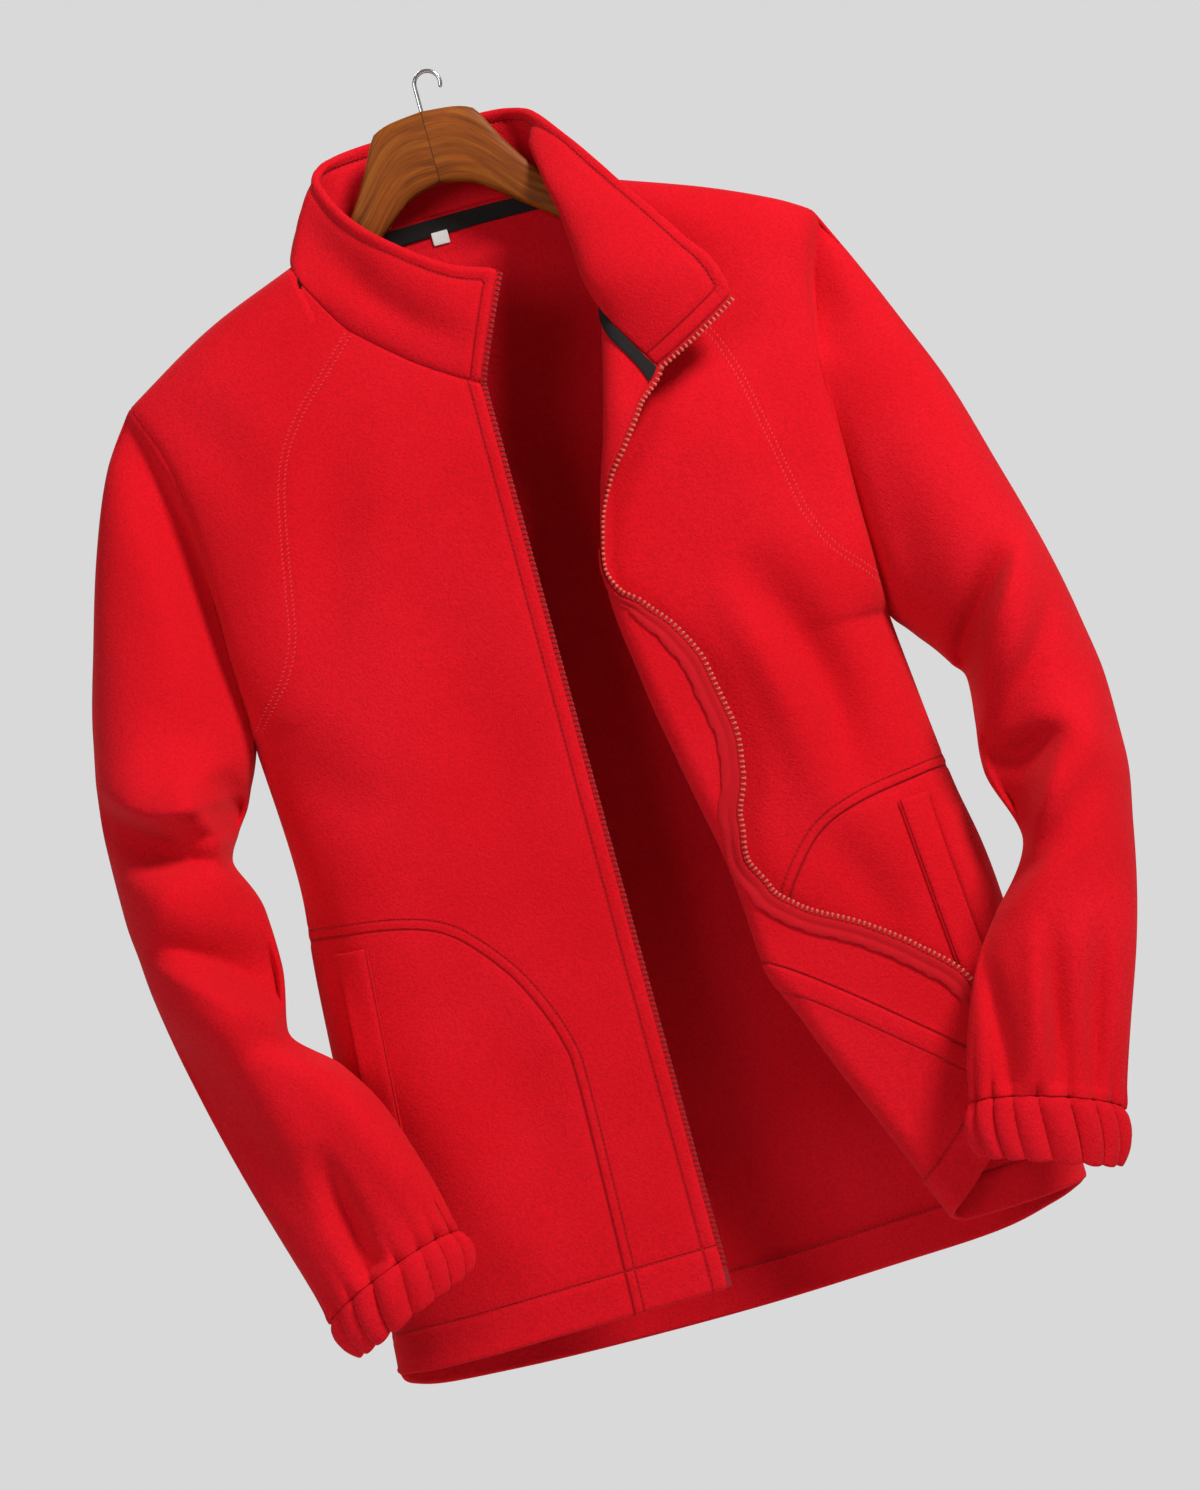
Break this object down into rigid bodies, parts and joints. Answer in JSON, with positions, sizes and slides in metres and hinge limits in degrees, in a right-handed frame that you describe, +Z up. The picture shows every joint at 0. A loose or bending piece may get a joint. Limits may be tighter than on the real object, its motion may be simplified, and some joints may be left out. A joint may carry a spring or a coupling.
{
  "type": "zip-up fleece jacket on a wooden hanger",
  "caption": "Long-sleeved fleece jacket with stand collar, front zip, two welt pockets and gathered cuffs, hung open on a wooden hanger.",
  "frame": {"origin": "inside top of the hanger's hook, where it rests on a rail", "axes": "+Z up, -Y the way the jacket's front faces, +X to the viewer's right"},
  "size_m": [0.6466, 0.191, 0.8353],
  "materials": {
    "fleece": "matt brushed pile",
    "zip_teeth": "satin",
    "zip_metal": "satin",
    "neck_tape": "matt twill",
    "label": "matt",
    "wood": "varnished",
    "steel": "bright"
  },
  "bodies": {
    "jacket": {"back": "fleece", "collar": "fleece", "cuff_left": "fleece", "cuff_right": "fleece", "front_left": "fleece", "front_right": "fleece", "hanger": "wood", "hook": "steel", "neck_tape": "neck_tape", "pocket_left": "fleece", "pocket_right": "fleece", "size_label": "label", "sleeve_left": "fleece", "sleeve_right": "fleece", "welt_left": "fleece", "welt_right": "fleece", "yoke_left": "fleece", "yoke_right": "fleece", "zip_box": "zip_metal", "zip_left": "zip_teeth", "zip_pin": "zip_metal", "zip_right": "zip_teeth", "zip_slider": "zip_metal"},
    "pull": {"zip_pull": "zip_metal"}
  },
  "joints": [
    {"name": "pull_swing", "type": "hinge", "parent": "jacket", "child": "pull", "pos_m": [0.20105, -0.05675, -0.69829], "axis": [0.9128, 0.0094, 0.4084], "range_deg": [0, 175]}
  ]
}
